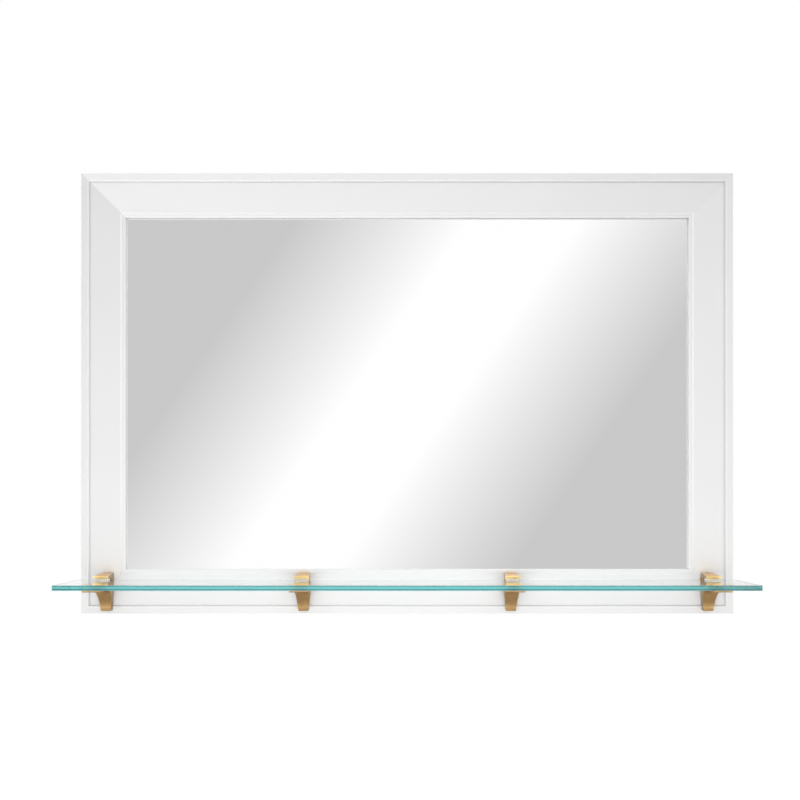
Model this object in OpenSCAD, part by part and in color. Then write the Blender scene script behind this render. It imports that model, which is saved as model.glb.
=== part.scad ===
// Framed wall mirror with a clamped glass shelf.
// X runs to the right, +Y points back into the wall, +Z points up.
// The origin is midway between the two hanging keyholes, in the plane of the frame's back.
// Heights called "up" are measured from the frame's bottom edge, and distances called "out"
// are measured forward from the frame's front plane.

/* [Frame] */
// Overall width of the frame
frame_w = 940; // [700:5:1400]
// Overall height of the frame
frame_h = 635; // [420:5:1000]
// Width of the moulding on all four sides
rail_w = 64; // [60:1:80]
// Thickness of the moulding's lip in front of the mirror
lip_t = 5; // [4.5:0.5:8]
// Width of the rebate behind the lip
rebate_w = 10; // [9:0.5:14]
// Rounding of the frame's outer and inner edges
edge_r = 1; // [0.5:0.25:1.5]

/* [Moulding] */
// Width of the flat outer band
band_w = 8.6; // [7:0.1:9]
// Depth of the outer band below the bead's crest
band_d = 0.7; // [0.2:0.1:1]
// Radius of the bead on the band's inner edge
bead_r = 1.4; // [1.2:0.1:1.6]
// Width of the groove beside the bead
quirk_w = 2.5; // [2:0.1:3]
// Depth of the groove below the front plane
quirk_d = 3.4; // [3:0.1:4]
// Depth of the wide flat board below the front plane
board_d = 2; // [1:0.25:2.5]
// Width of the raised band beside the mirror
inner_band_w = 4.7; // [4:0.1:6]
// Width of the slope from the board up to the raised band
slope_w = 3; // [2:0.1:4]

/* [Mirror and back] */
// Thickness of the mirror glass
mirror_t = 5; // [3:1:6]
// Thickness of the backing board
back_t = 6; // [5:0.5:9]
// Thickness of the soft strips between lip and mirror
cushion_t = 1; // [0.5:0.25:2]
// Width of the soft strips
cushion_w = 6; // [4:0.5:7]
// Distance of the soft strips from the edge of the visible mirror
cushion_in = 0.5; // [0.2:0.1:2]
// Gap around the edge of the mirror glass and of the backing board
pane_gap = 1.5; // [0.5:0.25:2]

/* [Corner splines] */
// Length of each spline along the mitre
spline_l = 22; // [16:1:24]
// Width of each spline across the mitre
spline_w = 16; // [10:1:18]
// Thickness of each spline
spline_t = 4; // [3:0.5:5]
// Distance of the spline's middle from both outer edges
spline_in = 16; // [15:0.5:17]
// Gap between a spline and its slot, each way
spline_gap = 0.1; // [0.05:0.05:0.2]

/* [Turn buttons] */
// Distance of the buttons on the rails from the frame's sides
button_side = 208; // [150:1:230]
// Distance of the buttons on the stiles from the frame's top and bottom
button_end = 197.5; // [130:0.5:200]
// Distance of a button's pivot from the rebate
button_in = 8; // [7:0.5:10]
// Distance between the centres of a button's two round ends
button_l = 18; // [14:1:24]
// Width of a button
button_w = 12; // [10:0.5:14]
// Thickness of a button
button_t = 1.5; // [1:0.25:1.5]

/* [Hanging] */
// Distance between the two keyholes
hang_w = 406.4; // [300:0.1:440]
// Distance of the keyholes' round ends below the frame's top edge
hang_in = 33; // [32:0.5:33]
// Gap between a hanger plate and its recess, each way
plate_gap = 0.1; // [0.05:0.01:0.2]
// Width of a hanger plate
plate_w = 18; // [16:0.5:22]
// Height of a hanger plate
plate_h = 44; // [42:0.5:46]
// Thickness of a hanger plate
plate_t = 2; // [1.5:0.25:3]
// Radius of a keyhole's round end
keyhole_r = 4.5; // [4:0.25:5]
// Width of a keyhole's slot
slot_w = 5; // [4:0.25:6]
// Length of a keyhole's slot above the round end
slot_l = 12; // [9:0.5:12]
// Depth of the screw head's pocket behind a hanger plate
pocket_d = 8; // [5:0.5:9]
// Room around the keyhole in the screw head's pocket
pocket_gap = 1; // [0.5:0.25:1.5]
// Thickness of the wall bumpers
bumper_t = 4; // [4:0.5:8]
// Radius of the wall bumpers
bumper_r = 6; // [4:0.5:8]
// Distance of the bumpers from the frame's outer edges
bumper_in = 14; // [10:1:18]

/* [Glass shelf] */
// How far each end of the shelf stops short of the frame's side
shelf_short = 1; // [-10:0.5:20]
// Depth of the shelf from back to front
shelf_d = 100; // [80:1:140]
// Thickness of the shelf
shelf_t = 7; // [6:0.5:8]
// Height of the shelf's top above the frame's bottom edge
shelf_up = 50; // [48:0.5:52]
// Gap between the shelf's back edge and the brackets
shelf_gap = 1; // [0.5:0.25:2]
// Radius of the shelf's four corners
shelf_corner_r = 1.5; // [1.5:0.5:8]
// Rounding of the shelf's polished edges
shelf_edge_r = 1; // [0.5:0.25:1.5]

/* [Shelf brackets] */
// Distance of the outer brackets' middles from the frame's sides
bracket_in = 39; // [36:0.5:44]
// Distance between the two inner brackets' middles
inner_apart = 297; // [150:1:320]
// Height of a bracket's lower end above the frame's bottom edge
bracket_up = 5.2; // [4:0.2:6]
// Width of a bracket at its lower end
foot_w = 13.7; // [13:0.1:16]
// Width of a bracket's upright at its upper end
upright_w = 17.3; // [16.5:0.1:20]
// How far the upright stands out from the frame's front plane
upright_out = 7.2; // [7:0.1:9]
// How far the foot stands out from the frame's front plane
foot_out = 9.5; // [9:0.1:11]
// How far the lower jaw reaches out from the frame's front plane
jaw_out = 69; // [60:1:76]
// Width of the lower jaw at its tip
jaw_w = 25; // [24:0.5:30]
// Width of the lower jaw where the cove begins
neck_w = 22.5; // [20:0.5:24]
// Thickness of the lower jaw's lip
jaw_t = 5.5; // [4.5:0.25:6]
// Radius of the cove under the lower jaw
cove_r = 27; // [22:0.5:27.5]
// Height of the notch between lower jaw and upright
notch_h = 8.3; // [5:0.1:9]
// Depth of the notch at its top
notch_out = 7.8; // [5:0.1:9]

/* [Clamp] */
// Thickness of the upper pad
upper_pad_t = 2.8; // [2:0.1:4]
// Width of the upper pad
upper_pad_w = 17; // [12:0.5:18]
// Length of the upper pad
upper_pad_l = 12; // [10:0.5:16]
// Thickness of the lower pad
lower_pad_t = 1.5; // [1:0.1:2]
// Width of the lower pad
lower_pad_w = 18; // [12:0.5:20]
// Length of the lower pad
lower_pad_l = 40; // [25:1:44]
// How far the lower pad stands proud of the lower jaw
pad_proud = 0.3; // [0.2:0.05:0.5]
// How far the upper jaw reaches out from the frame's front plane
beak_out = 30; // [29:0.5:34]
// Width of the upper jaw at its front
beak_w = 21.2; // [19:0.2:26]
// Height of the upper jaw at its back
beak_back_h = 6.6; // [5:0.1:8]
// Height of the upper jaw's front face
beak_front_h = 3.4; // [2.5:0.1:4.5]
// Width of the upper jaw's tongue
tongue_w = 6.4; // [5.5:0.1:7]
// Thickness of the upper jaw's tongue
tongue_t = 4.8; // [4.2:0.1:5]
// Gap around the tongue in its socket, each way
tongue_gap = 0.1; // [0.05:0.01:0.1]
// Radius of the clamp screw
screw_r = 1.5; // [1.25:0.05:1.6]
// Radius of the clamp screw's head
screw_head_r = 2.25; // [2.1:0.05:2.4]
// Height of the clamp screw's head
screw_head_h = 2.8; // [2:0.1:3.2]
// Gap between the clamp screw and its holes
screw_gap = 0.05; // [0.02:0.01:0.08]
// Length of thread between the clamp screw and the tongue
screw_bite = 13; // [10:0.5:14]
// Bore left in the tongue above the clamp screw
bore_spare = 3.5; // [2:0.5:5]
// Thickness of the ring that keeps the clamp screw in its bracket
ring_t = 0.8; // [0.6:0.1:1]
// Depth of the tongue's socket below the notch
socket_drop = 4.4; // [3:0.2:5]
// Gap between the upright's top and the upper jaw
clamp_gap = 0.4; // [0.3:0.1:0.6]
// Gap between the upper jaw and the frame's front plane
beak_gap = 0.4; // [0.3:0.1:0.8]

/* [Fixings] */
// Radius of the bolts that hold the brackets
bolt_r = 1.5; // [1.25:0.05:1.5]
// Distance of a bracket's two bolts from its middle
bolt_x = 4.8; // [4.7:0.05:5]
// Height of the bolts above the frame's bottom edge
bolt_up = 22; // [20:0.5:23]
// Depth of the bolts' threads in a bracket
bolt_bite = 6; // [4:0.5:7]
// Radius of the bolts' heads
bolt_head_r = 3; // [2.5:0.1:3.5]
// Height of the bolts' heads
bolt_head_h = 2.5; // [1.5:0.1:3]
// Depth of the bolt heads below the frame's back
bolt_sink = 1; // [0.5:0.25:2]
// Width across the flats of the hexagon sockets in bolts and clamp screws
hex_w = 2; // [1.5:0.1:2.2]
// Radius of the wood screws
wood_screw_r = 1.7; // [1.5:0.05:2]
// Length of the wood screws in the wood
wood_screw_l = 10; // [8:0.5:11]
// Radius of the wood screws' heads
wood_head_r = 3.4; // [3:0.1:3.6]
// Height of the button screws' heads
wood_head_h = 1.8; // [1.5:0.1:2]
// Length of the crossed slots in the wood screws
cross_l = 3.6; // [3:0.1:4.4]
// Width of the crossed slots
cross_w = 0.9; // [0.7:0.05:1.1]
// Depth of the crossed slots
cross_d = 1.1; // [0.8:0.05:1.2]
// Gap between a screw or bolt and its hole
fix_gap = 0.05; // [0.02:0.01:0.08]

/* [Hidden] */
$fn = 48;
eps = 0.01;
// Reach of a cutter past the face that it cuts
past = 1;

frame_t = lip_t + cushion_t + mirror_t + back_t;
frame_top = hang_in;
frame_bottom = frame_top - frame_h;
frame_mid = (frame_top + frame_bottom) / 2;
front_y = -frame_t;
mirror_y = front_y + lip_t + cushion_t;
back_y = mirror_y + mirror_t;
open_w = frame_w - 2 * rail_w;
open_h = frame_h - 2 * rail_w;
pane_w = open_w + 2 * (rebate_w - pane_gap);
pane_h = open_h + 2 * (rebate_w - pane_gap);
shelf_l = frame_w - 2 * shelf_short;

// Heights above the frame's bottom edge
shelf_under_up = shelf_up - shelf_t;
jaw_top_up = shelf_under_up - pad_proud;
jaw_under_up = jaw_top_up - jaw_t;
notch_up = jaw_top_up - notch_h;
beak_up = shelf_up + upper_pad_t;
upright_top_up = beak_up - clamp_gap;
socket_up = notch_up - socket_drop;
ring_gap = 0.3;
ring_side_gap = 0.1;
tongue_up = socket_up + ring_t + screw_gap + ring_gap;
screw_top_up = tongue_up + screw_bite;
tongue_bore_up = screw_top_up + bore_spare;
head_sink = 0.2;
head_gap = 0.15;
bridge_up = bracket_up + head_sink + screw_head_h + screw_gap;

// Distances out from the frame's front plane
seat_out = -board_d;
step_gap = 0.5;
step_up = band_w + 2 * bead_r + quirk_w + step_gap;
socket_out = 0.8;
tip_chamfer = 1;
clamp_out = socket_out + tongue_t / 2;
shelf_back_out = upright_out + shelf_gap;
beak_back_out = beak_gap;
// How far the upper pad lies behind the upper jaw's front, and the lower pad in front of the notch
upper_pad_in = 3;
lower_pad_in = 6;
upper_pad_out = beak_out - upper_pad_in - upper_pad_l;
lower_pad_out = upright_out + notch_out + lower_pad_in;

outer_x = frame_w / 2 - bracket_in;
bracket_x = [-outer_x, -inner_apart / 2, inner_apart / 2, outer_x];
// Room around the bolts and their heads in the frame, and past their ends in the brackets
bolt_room = 0.2;
bolt_end_gap = 0.5;
// Depth of a hexagon socket as a share of its head's height
socket_share = 0.6;
button_u = rail_w - rebate_w - button_in;
plate_mid = frame_top - (rail_w - rebate_w) / 2;
plate_screw_in = 4.6;
plate_screw_z = plate_h / 2 - plate_screw_in;
plate_corner_r = 3;
button_x = frame_w / 2 - button_side;
button_z = frame_h / 2 - button_end;

// Place and direction of each turn button: x, z and the turn of its long end about Y
button_spots = [
    [-button_x, frame_top - button_u, 90],
    [button_x, frame_top - button_u, 90],
    [-button_x, frame_bottom + button_u, -90],
    [button_x, frame_bottom + button_u, -90],
    [-frame_w / 2 + button_u, frame_mid + button_z, 0],
    [-frame_w / 2 + button_u, frame_mid - button_z, 0],
    [frame_w / 2 - button_u, frame_mid + button_z, 180],
    [frame_w / 2 - button_u, frame_mid - button_z, 180]
];

paint = [0.94, 0.94, 0.94];
brass = [0.80, 0.64, 0.40];
zinc = [0.72, 0.73, 0.75];
clear = [0.86, 0.88, 0.86];

// A rectangle from the origin with rounded corners
module round_rect(size, r) {
    translate([r, 0]) square([size[0] - 2 * r, size[1]]);
    translate([0, r]) square([size[0], size[1] - 2 * r]);
    for (x = [r, size[0] - r], y = [r, size[1] - r])
        translate([x, y]) circle(r = r);
}

// What a round cuts off a square corner; the solid lies on the side of the circle's centre
module corner_cut(corner, turn, r) {
    translate(corner) rotate(turn) difference() {
        translate([-past, -past]) square([r + past, r + past]);
        translate([r, r]) circle(r = r);
        translate([r, -past - eps]) square([r + past, r * 2 + past]);
        translate([-past - eps, r]) square([r * 2 + past, r + past]);
    }
}

// Cross-section of the moulding: across from the outer edge, then back from the front plane
module moulding_section() {
    quirk_start = band_w + 2 * bead_r;
    board_start = quirk_start + quirk_w;
    board_end = rail_w - inner_band_w - slope_w;
    difference() {
        union() {
            translate([0, band_d]) square([rail_w, frame_t - band_d]);
            translate([band_w + bead_r, bead_r]) circle(r = bead_r);
            translate([board_end, 0]) square([rail_w - board_end, frame_t]);
        }
        translate([quirk_start, -past]) square([quirk_w, quirk_d + past]);
        polygon([
            [board_start - eps, -past], [board_start - eps, board_d], [board_end, board_d],
            [board_end + slope_w, 0], [board_end + slope_w, -past]
        ]);
        corner_cut([quirk_start, 0], 90, bead_r);
        corner_cut([0, band_d], 0, edge_r);
        corner_cut([rail_w, 0], 90, edge_r);
        translate([rail_w - rebate_w, lip_t]) square([rebate_w + past, frame_t]);
    }
}

// A plate outline in X and Z, extruded from one Y to another
module wall_slab(y_low, y_high) {
    translate([0, y_high, 0]) rotate([90, 0, 0]) linear_extrude(y_high - y_low) children();
}

// The region of one mitred member, wider than the frame past its outer edge
module mitre_zone(side) {
    w = frame_w / 2;
    h = frame_h / 2;
    wall_slab(-frame_t - past, past) translate([0, frame_mid])
        if (side == "top") polygon([[-w, h], [w, h], [w - rail_w, h - rail_w], [rail_w - w, h - rail_w]]);
        else if (side == "bottom")
            polygon([[-w, -h], [w, -h], [w - rail_w, rail_w - h], [rail_w - w, rail_w - h]]);
        else if (side == "left")
            polygon([[-w, -h], [-w, h], [rail_w - w, h - rail_w], [rail_w - w, rail_w - h]]);
        else polygon([[w, -h], [w, h], [w - rail_w, h - rail_w], [w - rail_w, rail_w - h]]);
}

// Runs its children at each corner, turned so that +X runs along the mitre towards the middle
module at_corners() {
    for (sx = [-1, 1], sz = [-1, 1])
        translate([sx * (frame_w / 2 - spline_in), 0, frame_mid + sz * (frame_h / 2 - spline_in)])
            rotate([0, sx * sz * (sx < 0 ? -45 : 45) + (sx < 0 ? 0 : 180), 0]) children();
}

// One spline, or its slot when it is grown by a gap
module spline(grow = 0) {
    l = spline_l + 2 * grow;
    w = spline_w + 2 * grow;
    corner = w / 4;
    translate([0, -frame_t / 2, 0])
        wall_slab(-spline_t / 2 - grow, spline_t / 2 + grow)
            translate([-l / 2, -w / 2]) round_rect([l, w], corner);
}

module corner_splines() {
    color("burlywood") at_corners() spline();
}

// Crossed slots for a screwdriver, cut forward from the head's outer face
module cross_slots(face_y) {
    for (turn = [0, 90]) translate([0, face_y, 0]) rotate([0, turn, 0])
        translate([-cross_l / 2, -cross_d, -cross_w / 2]) cube([cross_l, cross_d + past, cross_w]);
}

// A screw that a turn button pivots on
module button_screw() {
    head_y = button_t + fix_gap;
    rotate([90, 0, 0]) cylinder(r = wood_screw_r, h = wood_screw_l);
    rotate([-90, 0, 0]) cylinder(r = wood_screw_r, h = head_y + eps);
    difference() {
        translate([0, head_y, 0]) rotate([-90, 0, 0]) cylinder(r = wood_head_r, h = wood_head_h);
        cross_slots(head_y + wood_head_h);
    }
}

// Places of the hanger plates' screws
module at_plate_screws() {
    for (sx = [-1, 1], sz = [-1, 1])
        translate([sx * hang_w / 2, 0, plate_mid + sz * plate_screw_z]) children();
}

// A countersunk screw, flush with the hanger plate's back, or its hole when grown
module plate_screw(grow = 0) {
    rotate([90, 0, 0]) {
        cylinder(r = wood_screw_r + grow, h = wood_screw_l + grow);
        cylinder(r1 = wood_head_r + grow, r2 = wood_screw_r + grow, h = plate_t);
    }
}

// Keyhole outline in X and Z around the round end
module keyhole(grow = 0) {
    circle(r = keyhole_r + grow);
    translate([-slot_w / 2 - grow, 0]) square([slot_w + 2 * grow, slot_l]);
    translate([0, slot_l]) circle(r = slot_w / 2 + grow);
}

// Outline of a hanger plate in X and Z
module plate_outline(grow = 0) {
    translate([-plate_w / 2 - grow, plate_mid - plate_h / 2 - grow])
        round_rect([plate_w + 2 * grow, plate_h + 2 * grow], plate_corner_r + grow);
}

// Room for the hanger plates, the screw heads behind them and their own screws
module hanger_pockets() {
    head_room = keyhole_r - slot_w / 2 + pocket_gap;
    for (sx = [-1, 1]) translate([sx * hang_w / 2, 0, 0]) {
        wall_slab(-plate_t, past) plate_outline(plate_gap);
        wall_slab(-plate_t - pocket_d, 0) {
            circle(r = keyhole_r + pocket_gap);
            translate([-slot_w / 2 - head_room, 0]) square([slot_w + 2 * head_room, slot_l]);
            translate([0, slot_l]) circle(r = slot_w / 2 + head_room);
        }
    }
    at_plate_screws() plate_screw(fix_gap);
}

// Everything that is bored or cut into the frame's four members
module frame_cuts() {
    at_corners() spline(spline_gap);
    for (s = button_spots) translate([s[0], 0, s[1]])
        rotate([90, 0, 0]) cylinder(r = wood_screw_r + fix_gap, h = wood_screw_l + fix_gap);
    hanger_pockets();
    at_bolts() {
        rotate([90, 0, 0]) cylinder(r = bolt_r + bolt_room, h = frame_t);
        translate([0, past, 0]) rotate([90, 0, 0])
            cylinder(r = bolt_head_r + bolt_room, h = bolt_sink + bolt_head_h + past);
    }
}

module frame_member(side) {
    color(paint) difference() {
        intersection() {
            children();
            mitre_zone(side);
        }
        frame_cuts();
    }
}

module top_rail() {
    frame_member("top") translate([0, front_y, frame_top]) rotate([0, 90, 0])
        linear_extrude(frame_w, center = true) moulding_section();
}

module bottom_rail() {
    frame_member("bottom") translate([0, front_y, frame_bottom]) rotate([0, -90, 0])
        linear_extrude(frame_w, center = true) moulding_section();
}

module left_stile() {
    frame_member("left") translate([-frame_w / 2, front_y, frame_mid])
        linear_extrude(frame_h, center = true) moulding_section();
}

module right_stile() {
    frame_member("right") translate([frame_w / 2, front_y, frame_mid]) rotate([0, 180, 0])
        linear_extrude(frame_h, center = true) moulding_section();
}

// A board centred in the frame
module centred_board(w, h, t, y) {
    translate([-w / 2, y, frame_mid - h / 2]) cube([w, t, h]);
}

module mirror_cushions() {
    // The strips lie on the lip's back face, clear of its inner edge
    outer_w = open_w + 2 * (cushion_in + cushion_w);
    outer_h = open_h + 2 * (cushion_in + cushion_w);
    y = front_y + lip_t;
    color("dimgray") for (s = [-1, 1]) {
        translate([-outer_w / 2, y, frame_mid + s * (outer_h - cushion_w) / 2 - cushion_w / 2])
            cube([outer_w, cushion_t, cushion_w]);
        translate([s * (outer_w - cushion_w) / 2 - cushion_w / 2, y, frame_mid - outer_h / 2 + cushion_w])
            cube([cushion_w, cushion_t, outer_h - 2 * cushion_w]);
    }
}

module mirror_pane() {
    color("lightgray") centred_board(pane_w, pane_h, mirror_t, mirror_y);
}

module backing_board() {
    color("peru") centred_board(pane_w, pane_h, back_t, back_y);
}

module turn_button(i) {
    s = button_spots[i];
    color(zinc) translate([s[0], 0, s[1]]) rotate([0, s[2], 0])
        wall_slab(0, button_t) difference() {
            union() {
                circle(r = button_w / 2);
                translate([0, -button_w / 2]) square([button_l, button_w]);
                translate([button_l, 0]) circle(r = button_w / 2);
            }
            circle(r = wood_screw_r + fix_gap);
        }
}

module button_screws() {
    color(zinc) for (s = button_spots) translate([s[0], 0, s[1]]) button_screw();
}

module hanger_plate(sx) {
    color(zinc) translate([sx * hang_w / 2, 0, 0]) difference() {
        wall_slab(-plate_t, 0) plate_outline();
        wall_slab(-plate_t - past, past) keyhole();
        for (sz = [-1, 1]) translate([0, 0, plate_mid + sz * plate_screw_z]) plate_screw(fix_gap);
    }
}

module hanger_screws() {
    color(zinc) at_plate_screws() difference() {
        plate_screw();
        cross_slots(0);
    }
}

module wall_bumpers() {
    color("gray") for (sx = [-1, 1], sz = [-1, 1])
        translate([sx * (frame_w / 2 - bumper_in), 0, frame_mid + sz * (frame_h / 2 - bumper_in)])
            rotate([-90, 0, 0]) cylinder(r = bumper_r, h = bumper_t);
}

module glass_shelf() {
    color([0.6, 0.85, 0.83, 0.5]) intersection() {
        translate([-shelf_l / 2, front_y - shelf_back_out - shelf_d, frame_bottom + shelf_under_up])
            linear_extrude(shelf_t) round_rect([shelf_l, shelf_d], shelf_corner_r);
        translate([-shelf_l / 2, front_y - shelf_back_out - shelf_d, frame_bottom + shelf_under_up])
            rotate([90, 0, 90]) linear_extrude(shelf_l) round_rect([shelf_d, shelf_t], shelf_edge_r);
    }
}

// Runs its children at one bracket: Z is up from the frame's bottom edge, and -Y is out
module at_bracket(i) {
    translate([bracket_x[i], front_y, frame_bottom]) children();
}

// A side outline, given as points [out, up], extruded across the bracket
module side_slab(w) {
    rotate([90, 0, -90]) linear_extrude(w, center = true) children();
}

// An outline seen from the front, extruded over the bracket's whole depth
module front_slab() {
    wall_slab(-jaw_out - past, board_d + past) children();
}

// Runs its children at every bracket's two bolts, in the frame's back plane
module at_bolts() {
    for (x = bracket_x, sx = [-1, 1]) translate([x + sx * bolt_x, 0, frame_bottom + bolt_up]) children();
}

// A hexagon socket, cut up into a head of a given height from its outer face
module hex_socket(head_h) {
    translate([0, 0, -past]) cylinder(r = hex_w / sqrt(3), h = socket_share * head_h + past, $fn = 6);
}

module bracket_bolts() {
    reach = frame_t + seat_out + bolt_bite;
    color(zinc) at_bolts() translate([0, -bolt_sink, 0]) rotate([90, 0, 0]) difference() {
        union() {
            cylinder(r = bolt_head_r, h = bolt_head_h);
            cylinder(r = bolt_r, h = reach - bolt_sink);
        }
        hex_socket(bolt_head_h);
    }
}

// The upright that lies on the frame, stepped over the raised outer band
module bracket_upright() {
    intersection() {
        side_slab(jaw_w) polygon([
            [0, bracket_up], [0, step_up], [seat_out, step_up], [seat_out, upright_top_up],
            [upright_out, upright_top_up], [upright_out, bracket_up]
        ]);
        front_slab() polygon([
            [-foot_w / 2, bracket_up], [foot_w / 2, bracket_up],
            [upright_w / 2, upright_top_up], [-upright_w / 2, upright_top_up]
        ]);
    }
}

// The lower jaw, which sweeps down to the foot in a cove
module lower_jaw() {
    cove_out = foot_out + cove_r;
    cove_up = jaw_under_up - cove_r;
    intersection() {
        side_slab(jaw_w) difference() {
            polygon([
                [upright_out - past, bracket_up], [upright_out - past, notch_up],
                [upright_out, notch_up], [upright_out + notch_out, jaw_top_up],
                [jaw_out, jaw_top_up], [jaw_out, jaw_under_up + tip_chamfer],
                [jaw_out - tip_chamfer, jaw_under_up], [cove_out, jaw_under_up],
                [cove_out, cove_up], [foot_out, cove_up], [foot_out, bracket_up]
            ]);
            translate([cove_out, cove_up]) circle(r = cove_r, $fn = 96);
        }
        front_slab() polygon([
            [-foot_w / 2, bracket_up], [foot_w / 2, bracket_up], [neck_w / 2, jaw_under_up],
            [jaw_w / 2, jaw_under_up], [jaw_w / 2, jaw_top_up + past],
            [-jaw_w / 2, jaw_top_up + past], [-jaw_w / 2, jaw_under_up], [-neck_w / 2, jaw_under_up]
        ]);
        translate([0, 0, bracket_up - past]) linear_extrude(jaw_top_up - bracket_up + 2 * past) polygon([
            [-neck_w / 2, 0], [neck_w / 2, 0], [neck_w / 2, -cove_out],
            [jaw_w / 2, -jaw_out], [-jaw_w / 2, -jaw_out], [-neck_w / 2, -cove_out]
        ]);
    }
}

// A box across the middle of a bracket, between two distances out and two heights
module centred_box(w, out_low, out_high, up_low, up_high) {
    translate([-w / 2, -out_high, up_low]) cube([w, out_high - out_low, up_high - up_low]);
}

module bracket(i) {
    color(brass) at_bracket(i) difference() {
        union() {
            bracket_upright();
            lower_jaw();
        }
        centred_box(lower_pad_w, lower_pad_out, lower_pad_out + lower_pad_l,
            shelf_under_up - lower_pad_t, jaw_top_up + past);
        centred_box(tongue_w + 2 * tongue_gap, socket_out - tongue_gap,
            socket_out + tongue_t + tongue_gap, socket_up, upright_top_up + past);
        translate([0, -clamp_out, bracket_up - past]) {
            cylinder(r = screw_r + screw_gap, h = socket_up - bracket_up + 2 * past);
            cylinder(r = screw_head_r + head_gap, h = bridge_up - bracket_up + past);
        }
        for (sx = [-1, 1]) translate([sx * bolt_x, board_d + past, bolt_up])
            rotate([90, 0, 0]) cylinder(r = bolt_r + fix_gap, h = bolt_bite + past + bolt_end_gap);
    }
}

module upper_jaw(i) {
    color(brass) at_bracket(i) {
        intersection() {
            side_slab(beak_w) polygon([
                [beak_back_out, beak_up], [beak_back_out, beak_up + beak_back_h],
                [beak_out, beak_up + beak_front_h], [beak_out, beak_up]
            ]);
            linear_extrude(beak_up + beak_back_h + past) polygon([
                [-upright_w / 2, -beak_back_out], [upright_w / 2, -beak_back_out],
                [beak_w / 2, -beak_out], [-beak_w / 2, -beak_out]
            ]);
        }
        difference() {
            centred_box(tongue_w, socket_out, socket_out + tongue_t, tongue_up, beak_up + eps);
            translate([0, -clamp_out, tongue_up - past])
                cylinder(r = screw_r + screw_gap, h = tongue_bore_up - tongue_up + past);
        }
    }
}

module clamp_screw(i) {
    head_up = bracket_up + head_sink;
    color(zinc) at_bracket(i) translate([0, -clamp_out, 0]) {
        difference() {
            translate([0, 0, head_up]) cylinder(r = screw_head_r, h = screw_head_h);
            translate([0, 0, head_up]) hex_socket(screw_head_h);
        }
        translate([0, 0, head_up + screw_head_h - eps])
            cylinder(r = screw_r, h = screw_top_up - head_up - screw_head_h + eps);
        translate([0, 0, socket_up + screw_gap]) cylinder(r = tongue_t / 2 - ring_side_gap, h = ring_t);
    }
}

module upper_pad(i) {
    color(clear) at_bracket(i)
        centred_box(upper_pad_w, upper_pad_out, upper_pad_out + upper_pad_l, shelf_up, beak_up);
}

module lower_pad(i) {
    color(clear) at_bracket(i)
        centred_box(lower_pad_w, lower_pad_out, lower_pad_out + lower_pad_l,
            shelf_under_up - lower_pad_t, shelf_under_up);
}

top_rail();
bottom_rail();
left_stile();
right_stile();
corner_splines();
mirror_cushions();
mirror_pane();
backing_board();
turn_button(0);  // button_top_left
turn_button(1);  // button_top_right
turn_button(2);  // button_bottom_left
turn_button(3);  // button_bottom_right
turn_button(4);  // button_left_upper
turn_button(5);  // button_left_lower
turn_button(6);  // button_right_upper
turn_button(7);  // button_right_lower
button_screws();
hanger_plate(-1);  // hanger_plate_left
hanger_plate(1);  // hanger_plate_right
hanger_screws();
wall_bumpers();
glass_shelf();
bracket_bolts();
bracket(0);  // bracket_outer_left
bracket(1);  // bracket_inner_left
bracket(2);  // bracket_inner_right
bracket(3);  // bracket_outer_right
upper_jaw(0);  // upper_jaw_outer_left
upper_jaw(1);  // upper_jaw_inner_left
upper_jaw(2);  // upper_jaw_inner_right
upper_jaw(3);  // upper_jaw_outer_right
clamp_screw(0);  // clamp_screw_outer_left
clamp_screw(1);  // clamp_screw_inner_left
clamp_screw(2);  // clamp_screw_inner_right
clamp_screw(3);  // clamp_screw_outer_right
upper_pad(0);  // upper_pad_outer_left
upper_pad(1);  // upper_pad_inner_left
upper_pad(2);  // upper_pad_inner_right
upper_pad(3);  // upper_pad_outer_right
lower_pad(0);  // lower_pad_outer_left
lower_pad(1);  // lower_pad_inner_left
lower_pad(2);  // lower_pad_inner_right
lower_pad(3);  // lower_pad_outer_right
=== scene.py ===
import math

import bmesh
import bpy
from mathutils import Matrix, Vector


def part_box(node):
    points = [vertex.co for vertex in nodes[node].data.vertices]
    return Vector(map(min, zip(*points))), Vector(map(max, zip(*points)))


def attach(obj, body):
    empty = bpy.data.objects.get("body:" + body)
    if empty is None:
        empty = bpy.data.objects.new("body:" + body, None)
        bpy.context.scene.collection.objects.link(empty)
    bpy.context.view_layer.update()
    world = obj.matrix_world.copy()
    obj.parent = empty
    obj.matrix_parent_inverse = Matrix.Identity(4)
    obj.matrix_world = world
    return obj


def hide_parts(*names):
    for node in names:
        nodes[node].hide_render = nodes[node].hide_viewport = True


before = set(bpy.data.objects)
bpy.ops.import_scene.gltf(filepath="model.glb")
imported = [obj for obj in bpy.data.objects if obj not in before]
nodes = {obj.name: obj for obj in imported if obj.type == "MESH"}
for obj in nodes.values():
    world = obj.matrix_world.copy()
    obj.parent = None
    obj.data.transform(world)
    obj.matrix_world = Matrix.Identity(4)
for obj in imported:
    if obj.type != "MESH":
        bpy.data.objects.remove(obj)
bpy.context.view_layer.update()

# Where things are, in metres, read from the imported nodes
rail_low, rail_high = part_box("top_rail")
shelf_low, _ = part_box("glass_shelf")
sill_low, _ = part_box("bottom_rail")
half_width = (rail_high.x - rail_low.x) / 2
half_height = (rail_high.z - sill_low.z) / 2
middle_z = (rail_high.z + sill_low.z) / 2
front_y = rail_low.y

TURN_BACK = Matrix.Rotation(math.radians(-90), 3, "X")
BRACKETS = ["outer_left", "inner_left", "inner_right", "outer_right"]
BUTTONS = ["top_left", "top_right", "bottom_left", "bottom_right",
           "left_upper", "left_lower", "right_upper", "right_lower"]
# Lines on the moulding where shade and a highlight are painted, as distances in from the frame's outer edge
QUIRK_IN = 0.0127
SLOPE_IN = 0.0578
# Lines of painted shade along the shelf's edge, as heights above its underside
UPPER_SHADE_LINE = 0.0061
LOWER_SHADE_LINE = 0.0018
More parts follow.
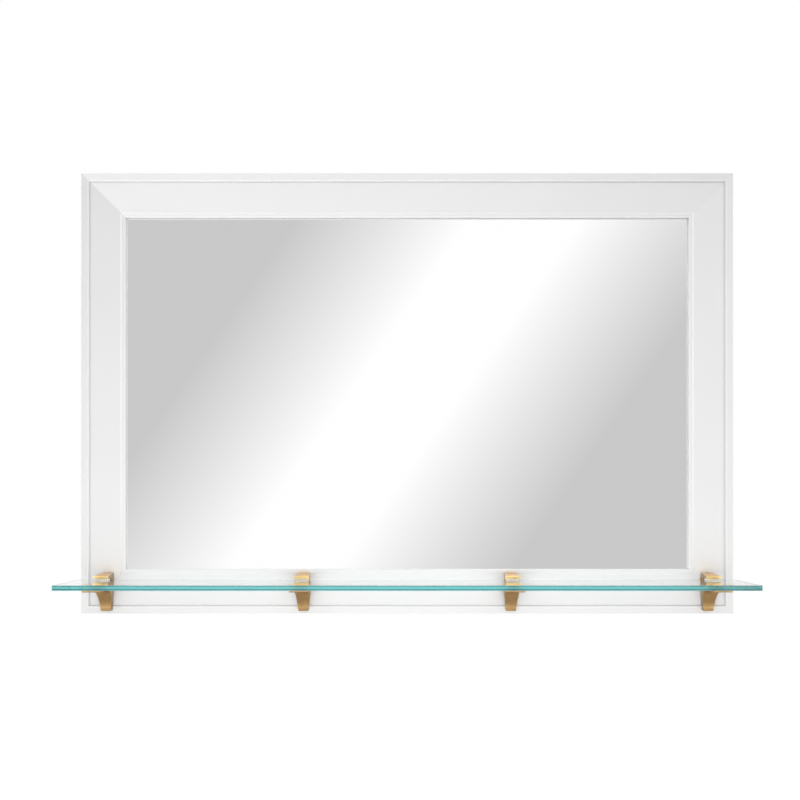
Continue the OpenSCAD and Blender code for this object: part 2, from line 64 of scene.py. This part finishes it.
# The stretch of X in which the shelf's edge turns greyer with painted shade
GREY_SHADE_FROM = 0.33
GREY_SHADE_TO = 0.46
# Depth below the shelf down to which a highlight is painted on the brackets' front faces
HIGHLIGHT_DEPTH = 0.007
# Widths to which sharp edges are rounded, and the shortest edge that is rounded near a bore
BRASS_EDGE = 0.00035
UPPER_PAD_EDGE = 0.0004
LOWER_PAD_EDGE = 0.0003
BUTTON_EDGE = 0.0002
SHORTEST_EDGE = 0.0009
# Edges that turn more than the first are rounded, and what then still turns more than the
# second is shaded as a sharp edge
ROUNDED_ANGLE = math.radians(28)
SHARP_ANGLE = math.radians(30)
# Faces that turn less than this are joined first
FLAT_ANGLE = math.radians(0.6)
# Points this close are one point, and a point this close to a level lies on it
SAME_POINT = 2e-6
SAME_LEVEL = 1e-5
# How far a pad or a button stands off the face that it rests on
HAIR = 0.00003
# The bumpers' radius at the frame, the share of it left at the wall, and the rounding there
BUMPER_RADIUS = 0.006
BUMPER_TAPER = 0.86
BUMPER_RIM = 0.0011
FLOOR_SIZE = 5.0
FLOOR_DROP = 0.65
# The studio's light bank, seen on a plane at distance 1: its slant, where its left edge
# brightens and its right edge dims, and how pale a screen shows the studio and the bank
BANK_SLANT = 0.6935
BANK_LEFT = (-0.352, -0.155)
BANK_RIGHT = (-0.028, 0.168)
BANK_TONES = (0.786, 1.004)
SCREEN_GAMMA = 2.2


# ---------------------------------------------------------------- node helpers

class Shade:
    """A node tree with short ways to add and join nodes."""

    def __init__(self, tree):
        self.tree = tree
        self.tree.nodes.clear()

    def add(self, kind, **settings):
        node = self.tree.nodes.new(kind)
        for key, value in settings.items():
            setattr(node, key, value)
        return node

    def join(self, output, socket):
        self.tree.links.new(output, socket)

    def put(self, value, socket):
        if isinstance(value, bpy.types.NodeSocket):
            self.join(value, socket)
        else:
            socket.default_value = value

    def math(self, operation, a, b=None):
        node = self.add("ShaderNodeMath", operation=operation)
        for i, value in enumerate((a, b)):
            if value is not None:
                self.put(value, node.inputs[i])
        return node.outputs[0]

    def ramp(self, value, low, high, low_out=0.0, high_out=1.0):
        """Runs from low_out to high_out while the value goes from low to high."""
        node = self.add("ShaderNodeMapRange", clamp=True)
        self.put(value, node.inputs["Value"])
        node.inputs["From Min"].default_value = low
        node.inputs["From Max"].default_value = high
        node.inputs["To Min"].default_value = low_out
        node.inputs["To Max"].default_value = high_out
        return node.outputs["Result"]

    def mix(self, share, a, b):
        node = self.add("ShaderNodeMix", data_type="FLOAT")
        self.put(share, node.inputs[0])
        self.put(a, node.inputs[2])
        self.put(b, node.inputs[3])
        return node.outputs[0]

    def blend(self, share, a, b, how="MIX"):
        node = self.add("ShaderNodeMix", data_type="RGBA", blend_type=how)
        self.put(share, node.inputs[0])
        self.put(a, node.inputs[6])
        self.put(b, node.inputs[7])
        return node.outputs[2]

    def line(self, value, at, half, soft, share=1.0, rest=0.0):
        """The share on a line around this level, and rest away from it."""
        off = self.math("ABSOLUTE", self.math("SUBTRACT", value, at))
        return self.ramp(off, half, soft, share, rest)

    def noise(self, where, scale, detail=2.0, roughness=0.5, stretch=None):
        if stretch is not None:
            mapping = self.add("ShaderNodeMapping")
            mapping.inputs["Scale"].default_value = stretch
            self.join(where, mapping.inputs["Vector"])
            where = mapping.outputs["Vector"]
        node = self.add("ShaderNodeTexNoise")
        self.join(where, node.inputs["Vector"])
        node.inputs["Scale"].default_value = scale
        node.inputs["Detail"].default_value = detail
        node.inputs["Roughness"].default_value = roughness
        return node.outputs["Fac"]

    def bump(self, height, strength, distance, under=None):
        node = self.add("ShaderNodeBump")
        node.inputs["Strength"].default_value = strength
        node.inputs["Distance"].default_value = distance
        self.join(height, node.inputs["Height"])
        if under is not None:
            self.join(under, node.inputs["Normal"])
        return node.outputs["Normal"]

    def coordinates(self):
        """The point on the object as one vector, then its parts, then the normal's parts."""
        node = self.add("ShaderNodeTexCoord")
        split = self.add("ShaderNodeSeparateXYZ")
        self.join(node.outputs["Object"], split.inputs[0])
        normal = self.add("ShaderNodeSeparateXYZ")
        self.join(node.outputs["Normal"], normal.inputs[0])
        return node.outputs["Object"], split.outputs, normal.outputs


def grey(level):
    return (level, level, level, 1.0)


def finish_material(name, **plain):
    """A material with one main shader, whose even values sit on its own sockets."""
    material = bpy.data.materials.new(name)
    material.use_nodes = True
    shade = Shade(material.node_tree)
    shader = shade.add("ShaderNodeBsdfPrincipled")
    output = shade.add("ShaderNodeOutputMaterial")
    shade.join(shader.outputs["BSDF"], output.inputs["Surface"])
    for socket, value in plain.items():
        shader.inputs[socket.replace("_", " ")].default_value = value
    return material, shade, shader, output


# ------------------------------------------------------------------- materials

def white_paint(name, along, first_shaded_tone, last_shaded_tone, quirk_painted_shading=0.92, slope_painted_highlight=1.06):
    """Semi-gloss paint on a frame member. Its tone runs lighter or darker along the member as painted light
    and shade, and the back is bare board with some overspray at the outer edge."""
    material, shade, shader, _ = finish_material(name, Specular_IOR_Level=0.8)
    where, place, _ = shade.coordinates()
    reach = half_width if along == "X" else half_height
    centre = 0.0 if along == "X" else middle_z
    # Painted light and shade: the tone grows lighter or darker from one end of the member to the other
    tone = shade.ramp(place[along], centre - reach, centre + reach, first_shaded_tone, last_shaded_tone)
    drift = shade.ramp(shade.noise(where, 9.0, 2.0), 0.3, 0.7, 0.992, 1.008)
    tone = shade.math("MULTIPLY", tone, drift)

    # A hairline where two members meet at the mitre
    side_in = shade.math("SUBTRACT", half_width, shade.math("ABSOLUTE", place["X"]))
    from_middle = shade.math("ABSOLUTE", shade.math("SUBTRACT", place["Z"], middle_z))
    end_in = shade.math("SUBTRACT", half_height, from_middle)
    off_mitre = shade.math("ABSOLUTE", shade.math("SUBTRACT", side_in, end_in))
    hairline = shade.ramp(off_mitre, 0.0001, 0.00026, 1.0, 0.0)
    tone = shade.math("MULTIPLY", tone, shade.ramp(hairline, 0.0, 1.0, 1.0, 0.86))
    # Painted shade darkens the quirk (the bottom rail's is lightened instead), and a painted highlight
    # lightens the slope up to the raised band
    edge_in = shade.math("MINIMUM", side_in, end_in)
    tone = shade.math("MULTIPLY", tone, shade.line(edge_in, QUIRK_IN, 0.0007, 0.0016, quirk_painted_shading, 1.0))
    tone = shade.math("MULTIPLY", tone, shade.line(edge_in, SLOPE_IN, 0.0013, 0.0017, slope_painted_highlight, 1.0))
    paint = shade.add("ShaderNodeCombineColor")
    for channel in ("Red", "Green", "Blue"):
        shade.join(tone, paint.inputs[channel])

    # Bare board at the back
    ragged = shade.math("MULTIPLY", shade.noise(where, 260.0, 3.0), 0.008)
    mist = shade.ramp(shade.math("SUBTRACT", edge_in, ragged), 0.0, 0.006)
    bare = shade.math("MULTIPLY", shade.ramp(place["Y"], -0.0012, -0.0004), mist)
    fibres = shade.noise(where, 900.0, 4.0, 0.7)
    board = shade.blend(shade.ramp(fibres, 0.3, 0.7), (0.36, 0.25, 0.15, 1.0), (0.50, 0.37, 0.24, 1.0))
    shade.join(shade.blend(bare, paint.outputs["Color"], board), shader.inputs["Base Color"])

    sheen = shade.ramp(shade.noise(where, 34.0, 3.0), 0.3, 0.7, 0.30, 0.37)
    rough = shade.math("ADD", sheen, shade.math("MULTIPLY", bare, 0.45))
    shade.join(rough, shader.inputs["Roughness"])
    stipple = shade.bump(shade.noise(where, 620.0, 2.0), 0.06, 0.00012)
    groove = shade.bump(shade.math("SUBTRACT", 1.0, hairline), 0.5, 0.0002, stipple)
    shade.join(groove, shader.inputs["Normal"])
    return material


def silvered_glass():
    """Mirror: silvered at the front face, ground at the edges, painted grey at the back."""
    material, shade, shader, _ = finish_material("silvered_glass", IOR=1.5)
    where, _, normal = shade.coordinates()
    front = shade.ramp(normal["Y"], -0.9, -0.6, 1.0, 0.0)
    back = shade.ramp(normal["Y"], 0.6, 0.9)
    speck = shade.ramp(shade.noise(where, 500.0, 3.0), 0.35, 0.65, 0.9, 1.1)
    edge = shade.blend(back, (0.42, 0.58, 0.53, 1.0), (0.20, 0.21, 0.22, 1.0))
    edge = shade.blend(0.35, edge, shade.math("MULTIPLY", speck, 0.4))
    shade.join(shade.blend(front, edge, (0.985, 0.988, 0.987, 1.0)), shader.inputs["Base Color"])
    shade.join(front, shader.inputs["Metallic"])
    matt = shade.math("SUBTRACT", 0.55, shade.math("MULTIPLY", front, 0.55))
    shade.join(matt, shader.inputs["Roughness"])
    return material


def shelf_glass():
    """Clear float glass with satin teal edges. Lamps shine through it."""
    material, shade, shader, output = finish_material("shelf_glass", IOR=1.5, Transmission_Weight=1.0)
    where, place, normal = shade.coordinates()
    # The faces are clear, the front and the ends are satin, and the back edge and corners are ground
    edge = shade.ramp(shade.math("ABSOLUTE", normal["Z"]), 0.3, 0.95, 1.0, 0.0)
    haze = shade.ramp(shade.noise(where, 300.0, 2.0, stretch=(0.05, 1.0, 6.0)), 0.3, 0.7, 0.02, 0.05)
    flat = shade.math("MAXIMUM", shade.math("ABSOLUTE", normal["X"]), shade.math("ABSOLUTE", normal["Y"]))
    back_half = shade.ramp(normal["Y"], 0.0, 0.1)
    corner = shade.math("MULTIPLY", shade.ramp(flat, 0.9, 0.99, 0.6, 0.0), back_half)
    ground = shade.math("MAXIMUM", shade.ramp(normal["Y"], 0.5, 0.8, 0.0, 0.5), corner)
    rough = shade.math("MAXIMUM", haze, ground)
    shade.join(shade.math("MULTIPLY", rough, edge), shader.inputs["Roughness"])
    frosted = shade.math("MULTIPLY", shade.ramp(ground, 0.0, 0.5), edge)
    satin = shade.math("MULTIPLY", edge, 0.5)
    cloudy = shade.math("MAXIMUM", frosted, satin)
    shade.join(shade.ramp(cloudy, 0.0, 1.0, 1.0, 0.05), shader.inputs["Transmission Weight"])
    # Two darker lines of painted shade run along the edge
    rise = shade.math("SUBTRACT", place["Z"], shelf_low.z)
    upper = shade.line(rise, UPPER_SHADE_LINE, 0.0005, 0.0009)
    lower = shade.line(rise, LOWER_SHADE_LINE, 0.0005, 0.0009)
    teal = shade.blend(upper, (0.235, 0.645, 0.62, 1.0), (0.011, 0.40, 0.39, 1.0))
    teal = shade.blend(lower, teal, (0.025, 0.21, 0.28, 1.0))
    # Towards its right end the glass is painted greyer, as painted shade
    greyer_shade = shade.ramp(place["X"], GREY_SHADE_FROM, GREY_SHADE_TO, 0.0, 0.55)
    teal = shade.blend(greyer_shade, teal, (0.145, 0.295, 0.28, 1.0))
    teal = shade.blend(shade.ramp(normal["Y"], 0.0, 0.2), teal, (0.9, 1.0, 0.98, 1.0))
    shade.join(shade.blend(edge, (0.985, 0.965, 0.965, 1.0), teal), shader.inputs["Base Color"])
    clear = shade.add("ShaderNodeBsdfTransparent")
    clear.inputs["Color"].default_value = grey(1.0)
    ray = shade.add("ShaderNodeLightPath")
    through = shade.math("MAXIMUM", ray.outputs["Is Shadow Ray"], ray.outputs["Is Diffuse Ray"])
    either = shade.add("ShaderNodeMixShader")
    shade.join(through, either.inputs[0])
    shade.join(shader.outputs["BSDF"], either.inputs[1])
    shade.join(clear.outputs[0], either.inputs[2])
    shade.join(either.outputs[0], output.inputs["Surface"])
    depth = shade.add("ShaderNodeVolumeAbsorption")
    depth.inputs["Color"].default_value = (0.20, 0.84, 0.83, 1.0)
    depth.inputs["Density"].default_value = 2.5
    shade.join(depth.outputs["Volume"], output.inputs["Volume"])
    return material


def satin_brass(name, face, front, side_shade):
    """Brass with a fine brushed grain across the piece. Its front faces carry a painted highlight,
    and its sides are darkened with painted shade."""
    material, shade, shader, _ = finish_material(name, Metallic=1.0)
    where, place, normal = shade.coordinates()
    grain = shade.noise(where, 1500.0, 3.0, 0.6, stretch=(0.04, 1.0, 1.0))
    cloud = shade.ramp(shade.noise(where, 90.0, 3.0), 0.3, 0.7, 0.93, 1.07)
    # A painted highlight on the front faces above the cove
    cove_top = shelf_low.z - HIGHLIGHT_DEPTH
    above_cove = shade.ramp(place["Z"], cove_top - 0.0005, cove_top + 0.0005)
    front_highlight = shade.math("MULTIPLY", shade.ramp(normal["Y"], -0.96, -0.8, 1.0, 0.0), above_cove)
    # The sides, darkened with painted shade
    skin = shade.ramp(shade.math("ABSOLUTE", normal["X"]), 0.7, 0.95)
    tint = shade.blend(skin, shade.blend(front_highlight, face, front), side_shade)
    fleck = shade.math("MULTIPLY", cloud, shade.ramp(grain, 0.3, 0.7, 1.0, 0.86))
    shade.join(shade.blend(1.0, tint, fleck, "MULTIPLY"), shader.inputs["Base Color"])
    shade.join(shade.ramp(grain, 0.25, 0.75, 0.24, 0.38), shader.inputs["Roughness"])
    shade.join(shade.bump(grain, 0.12, 0.00005), shader.inputs["Normal"])
    return material


def zinc_steel():
    """Zinc plate with the faint clouding of a passivated finish."""
    material, shade, shader, _ = finish_material("zinc_steel", Metallic=1.0)
    where, _, _ = shade.coordinates()
    cloud = shade.ramp(shade.noise(where, 160.0, 4.0, 0.6), 0.3, 0.7)
    plate = shade.blend(cloud, (0.50, 0.52, 0.55, 1.0), (0.68, 0.69, 0.70, 1.0))
    shade.join(plate, shader.inputs["Base Color"])
    shade.join(shade.ramp(cloud, 0.0, 1.0, 0.30, 0.48), shader.inputs["Roughness"])
    shade.join(shade.bump(shade.noise(where, 2200.0, 2.0), 0.08, 0.00004), shader.inputs["Normal"])
    return material


def hardboard():
    """Brown pressed board with loose fibres and a few darker flecks."""
    material, shade, shader, _ = finish_material("hardboard")
    where, _, _ = shade.coordinates()
    fibres = shade.noise(where, 420.0, 6.0, 0.75, stretch=(0.35, 1.0, 1.0))
    patches = shade.noise(where, 14.0, 3.0)
    flecks = shade.ramp(shade.noise(where, 700.0, 2.0), 0.66, 0.74)
    brown = shade.blend(shade.ramp(fibres, 0.3, 0.7), (0.150, 0.082, 0.040, 1.0), (0.245, 0.145, 0.077, 1.0))
    brown = shade.blend(shade.ramp(patches, 0.3, 0.7, 0.0, 0.22), brown, (0.20, 0.125, 0.07, 1.0))
    shade.join(shade.blend(flecks, brown, (0.08, 0.045, 0.025, 1.0)), shader.inputs["Base Color"])
    shade.join(shade.ramp(fibres, 0.3, 0.7, 0.55, 0.75), shader.inputs["Roughness"])
    shade.join(shade.bump(fibres, 0.25, 0.0002), shader.inputs["Normal"])
    return material


def bare_wood():
    """Pale hardwood of the splines, with its grain along X."""
    material, shade, shader, _ = finish_material("bare_wood", Roughness=0.7)
    where, _, _ = shade.coordinates()
    grain = shade.noise(where, 500.0, 4.0, 0.6, stretch=(0.08, 1.0, 1.0))
    wood = shade.blend(shade.ramp(grain, 0.3, 0.7), (0.42, 0.26, 0.13, 1.0), (0.60, 0.42, 0.24, 1.0))
    shade.join(wood, shader.inputs["Base Color"])
    shade.join(shade.bump(grain, 0.2, 0.0001), shader.inputs["Normal"])
    return material


def soft_plastic(name, dark, pale, rough, through=0.0):
    """Rubber, foam or silicone with a fine moulded skin."""
    material, shade, shader, _ = finish_material(name, Transmission_Weight=through, IOR=1.42)
    where, _, _ = shade.coordinates()
    skin = shade.noise(where, 1300.0, 3.0, 0.6)
    shade.join(shade.blend(shade.ramp(skin, 0.3, 0.7), dark, pale), shader.inputs["Base Color"])
    shade.join(shade.ramp(skin, 0.3, 0.7, rough - 0.05, rough + 0.05), shader.inputs["Roughness"])
    shade.join(shade.bump(skin, 0.15, 0.00006), shader.inputs["Normal"])
    return material


# Each brass's front tint is a painted highlight and its side tint painted shade
bracket_brass = satin_brass("bracket_brass", face=(0.88, 0.55, 0.24, 1.0), front=(0.98, 0.63, 0.33, 1.0),
                            side_shade=(0.42, 0.30, 0.17, 1.0))
jaw_brass = satin_brass("jaw_brass", face=(0.78, 0.52, 0.24, 1.0), front=(0.92, 0.69, 0.29, 1.0),
                        side_shade=(0.34, 0.27, 0.19, 1.0))
zinc = zinc_steel()
pad_silicone = soft_plastic("pad_silicone", dark=(0.96, 0.91, 0.80, 1.0), pale=(0.98, 0.95, 0.86, 1.0),
                            rough=0.35, through=0.1)
rubber = soft_plastic("bumper_rubber", dark=grey(0.055), pale=grey(0.085), rough=0.6)


def dress(node, material):
    mesh = nodes[node].data
    mesh.materials.clear()
    mesh.materials.append(material)


# The tone of each member's paint at its low and high ends along X or Z. The differences along and between
# the members are painted light and shade.
dress("top_rail", white_paint("paint_top", "X", 0.915, 0.755))
# The bottom rail's quirk is painted lighter, and its slope gets no painted highlight
dress("bottom_rail", white_paint("paint_bottom", "X", 0.775, 0.765, quirk_painted_shading=1.12, slope_painted_highlight=1.0))
dress("left_stile", white_paint("paint_left", "Z", 0.80, 0.78))
dress("right_stile", white_paint("paint_right", "Z", 0.79, 0.78))
dress("corner_splines", bare_wood())
dress("mirror_cushions", soft_plastic("strip_foam", dark=grey(0.72), pale=grey(0.82), rough=0.8))
dress("mirror_pane", silvered_glass())
dress("backing_board", hardboard())
dress("glass_shelf", shelf_glass())
for node in ["button_screws", "hanger_plate_left", "hanger_plate_right", "hanger_screws", "bracket_bolts"]:
    dress(node, zinc)
for bracket in BRACKETS:
    dress("clamp_screw_" + bracket, zinc)


# ---------------------------------------------------------------------- pieces

def make_piece(name, bm, material, body, stands_for):
    mesh = bpy.data.meshes.new(name)
    bm.to_mesh(mesh)
    bm.free()
    mesh.materials.append(material)
    for face in mesh.polygons:
        face.material_index = 0
        face.use_smooth = True
    mesh.set_sharp_from_angle(angle=SHARP_ANGLE)
    piece = bpy.data.objects.new(name, mesh)
    bpy.context.scene.collection.objects.link(piece)
    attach(piece, body)
    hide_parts(stands_for)


def softened(node, width, shortest=0.0):
    """A merged copy of a node's mesh with its sharp edges rounded over.
    Edges shorter than shortest are left, as those round bores are."""
    bm = bmesh.new()
    bm.from_mesh(nodes[node].data)
    bmesh.ops.remove_doubles(bm, verts=bm.verts, dist=SAME_POINT)
    bmesh.ops.dissolve_limit(bm, angle_limit=FLAT_ANGLE, use_dissolve_boundaries=False,
                             verts=bm.verts, edges=bm.edges, delimit=set())
    sharp = [e for e in bm.edges if len(e.link_faces) == 2 and e.calc_length() > shortest
             and e.calc_face_angle() > ROUNDED_ANGLE]
    bmesh.ops.bevel(bm, geom=sharp, offset=width, offset_type="OFFSET", affect="EDGES", segments=2,
                    profile=0.5, clamp_overlap=True, material=-1)
    return bm


def eased(bm, axis, level, move):
    """Moves the flat face at this level by a hair, off the piece that it rests on."""
    resting = [v for v in bm.verts if abs(getattr(v.co, axis) - level) < SAME_LEVEL]
    bmesh.ops.translate(bm, verts=resting, vec=move)
    return bm


for bracket in BRACKETS:
    make_piece("brass_bracket_" + bracket, softened("bracket_" + bracket, BRASS_EDGE, SHORTEST_EDGE),
               bracket_brass, "root", "bracket_" + bracket)
    make_piece("brass_jaw_" + bracket, softened("upper_jaw_" + bracket, BRASS_EDGE, SHORTEST_EDGE),
               jaw_brass, "jaw_" + bracket, "upper_jaw_" + bracket)
    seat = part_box("upper_pad_" + bracket)[0].z
    bm = eased(softened("upper_pad_" + bracket, UPPER_PAD_EDGE), "z", seat, (0, 0, HAIR))
    make_piece("upper_cushion_" + bracket, bm, pad_silicone, "jaw_" + bracket,
               "upper_pad_" + bracket)
    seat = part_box("lower_pad_" + bracket)[1].z
    bm = eased(softened("lower_pad_" + bracket, LOWER_PAD_EDGE), "z", seat, (0, 0, -HAIR))
    make_piece("lower_cushion_" + bracket, bm, pad_silicone, "root", "lower_pad_" + bracket)
for button in BUTTONS:
    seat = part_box("button_" + button)[0].y
    bm = eased(softened("button_" + button, BUTTON_EDGE, SHORTEST_EDGE), "y", seat, (0, HAIR, 0))
    make_piece("stamped_button_" + button, bm, zinc, "turn_" + button, "button_" + button)


def bumper_domes():
    """Four moulded bumpers, each a low dome with a rounded rim."""
    low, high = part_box("wall_bumpers")
    tall = high.y - max(low.y, 0.0)
    bm = bmesh.new()
    for x in (low.x + BUMPER_RADIUS, high.x - BUMPER_RADIUS):
        for z in (low.z + BUMPER_RADIUS, high.z - BUMPER_RADIUS):
            made = bmesh.ops.create_cone(bm, cap_ends=True, cap_tris=False, segments=40,
                                         radius1=BUMPER_RADIUS, radius2=BUMPER_RADIUS * BUMPER_TAPER,
                                         depth=tall)["verts"]
            bmesh.ops.rotate(bm, verts=made, cent=(0, 0, 0), matrix=TURN_BACK)
            bmesh.ops.translate(bm, verts=made, vec=(x, tall / 2, z))
    # All the rims are rounded in one go. A cone made after a bevel would have its points in
    # a different order in every run.
    rims = [e for e in bm.edges if min(v.co.y for v in e.verts) > tall * 0.9]
    bmesh.ops.bevel(bm, geom=rims, offset=BUMPER_RIM, offset_type="OFFSET", affect="EDGES", segments=5,
                    profile=0.5, clamp_overlap=True, material=-1)
    return bm


make_piece("moulded_bumpers", bumper_domes(), rubber, "root", "wall_bumpers")


# ----------------------------------------------------------------------- stage

def studio_floor():
    """A pale floor that looks white and keeps the object's shadow."""
    bm = bmesh.new()
    bmesh.ops.create_grid(bm, x_segments=8, y_segments=8, size=FLOOR_SIZE)
    bmesh.ops.translate(bm, verts=bm.verts, vec=(0, 0, sill_low.z - FLOOR_DROP))
    mesh = bpy.data.meshes.new("studio_floor")
    bm.to_mesh(mesh)
    bm.free()
    floor = bpy.data.objects.new("studio_floor", mesh)
    bpy.context.scene.collection.objects.link(floor)
    material, shade, shader, output = finish_material("studio_floor", Roughness=0.9)
    shader.inputs["Base Color"].default_value = grey(0.8)
    ray = shade.add("ShaderNodeLightPath")
    seen = shade.math("MAXIMUM", ray.outputs["Is Camera Ray"], ray.outputs["Is Transmission Ray"])
    glow = shade.add("ShaderNodeEmission")
    lifted = shade.math("MULTIPLY", ray.outputs["Is Diffuse Ray"], 0.45)
    shade.join(shade.math("ADD", shade.math("MULTIPLY", seen, 0.45), lifted), glow.inputs["Strength"])
    both = shade.add("ShaderNodeAddShader")
    shade.join(shader.outputs["BSDF"], both.inputs[0])
    shade.join(glow.outputs[0], both.inputs[1])
    # In the brass the floor looks dim below the object and brighter far in front.
    # A ray through clear glass counts as glossy too, and it has to see the white floor.
    _, place, _ = shade.coordinates()
    dim = shade.add("ShaderNodeEmission")
    shade.join(shade.ramp(place["Y"], -4.0, -0.6, 0.95, 0.38), dim.inputs["Strength"])
    either = shade.add("ShaderNodeMixShader")
    through = shade.math("SUBTRACT", 1.0, ray.outputs["Is Transmission Ray"])
    shade.join(shade.math("MULTIPLY", ray.outputs["Is Glossy Ray"], through), either.inputs[0])
    shade.join(both.outputs[0], either.inputs[1])
    shade.join(dim.outputs[0], either.inputs[2])
    shade.join(either.outputs[0], output.inputs["Surface"])
    mesh.materials.append(material)


def soft_lamp(name, place, aim, size, watts):
    lamp = bpy.data.lights.new(name, "AREA")
    lamp.shape = "SQUARE"
    lamp.size = size
    lamp.energy = watts
    holder = bpy.data.objects.new(name, lamp)
    holder.location = place
    holder.rotation_euler = (Vector(aim) - Vector(place)).to_track_quat("-Z", "Y").to_euler()
    bpy.context.scene.collection.objects.link(holder)
    holder.visible_glossy = False


def studio_world():
    """A white studio. In glossy rays it is pale grey ahead with one slanting white light
    bank, bright at the sides and above, dim below and nearly white behind. In diffuse
    rays most of the light comes from above."""
    world = bpy.data.worlds.new("studio")
    bpy.context.scene.world = world
    world.use_nodes = True
    shade = Shade(world.node_tree)
    direction = shade.add("ShaderNodeTexCoord")
    split = shade.add("ShaderNodeSeparateXYZ")
    shade.join(direction.outputs["Generated"], split.inputs[0])
    ahead = shade.math("MAXIMUM", shade.math("ABSOLUTE", split.outputs["Y"]), 0.02)
    across = shade.math("DIVIDE", split.outputs["X"], ahead)
    up = shade.math("DIVIDE", split.outputs["Z"], ahead)
    slant = shade.math("SUBTRACT", across, shade.math("MULTIPLY", up, BANK_SLANT))
    rise = shade.ramp(slant, *BANK_LEFT)
    fall = shade.ramp(slant, *BANK_RIGHT, 1.0, 0.0)
    bank = shade.math("MINIMUM", rise, fall)
    level = shade.math("POWER", shade.ramp(bank, 0.0, 1.0, *BANK_TONES), SCREEN_GAMMA)
    aside = shade.ramp(shade.math("MAXIMUM", shade.math("ABSOLUTE", across), up), 0.5, 1.4)
    below = shade.ramp(up, -1.2, -0.5, 1.0, 0.0)
    level = shade.mix(aside, level, 3.0)
    level = shade.mix(below, level, 0.35)
    behind = shade.ramp(split.outputs["Y"], 0.0, 0.05)
    backdrop = shade.ramp(across, -0.3, 0.45, 1.0, 0.86)
    level = shade.mix(behind, level, backdrop)

    side = shade.math("MULTIPLY", shade.math("ABSOLUTE", split.outputs["X"]), 0.10)
    above = shade.math("MAXIMUM", split.outputs["Z"], 0.0)
    soft = shade.math("ADD", shade.math("ADD", side, above), 0.12)

    ray = shade.add("ShaderNodeLightPath")
    diffuse = shade.math("MULTIPLY", ray.outputs["Is Diffuse Ray"], soft)
    glossy = shade.math("MULTIPLY", ray.outputs["Is Glossy Ray"], level)
    seen = shade.math("MAXIMUM", ray.outputs["Is Camera Ray"], ray.outputs["Is Transmission Ray"])
    total = shade.mix(seen, shade.math("MAXIMUM", diffuse, glossy), 1.0)
    background = shade.add("ShaderNodeBackground")
    background.inputs["Color"].default_value = grey(1.0)
    shade.join(total, background.inputs["Strength"])
    output = shade.add("ShaderNodeOutputWorld")
    shade.join(background.outputs[0], output.inputs["Surface"])


studio_floor()
studio_world()
soft_lamp("bank_front", place=(0.0, -1.2, -0.6), aim=(0.0, front_y, -0.4), size=1.2, watts=8.1)

camera_data = bpy.data.cameras.new("camera")
camera_data.sensor_width = 36.0
camera_data.lens = 39.84
camera_data.shift_x = -0.00894
camera_data.shift_y = 0.135
camera_data.clip_end = 100.0
camera = bpy.data.objects.new("camera", camera_data)
camera.location = (0.0, -1.292, -0.4497)
camera.rotation_euler = (math.radians(90), 0.0, 0.0)
bpy.context.scene.collection.objects.link(camera)
bpy.context.scene.camera = camera
bpy.context.scene.view_settings.view_transform = "Standard"
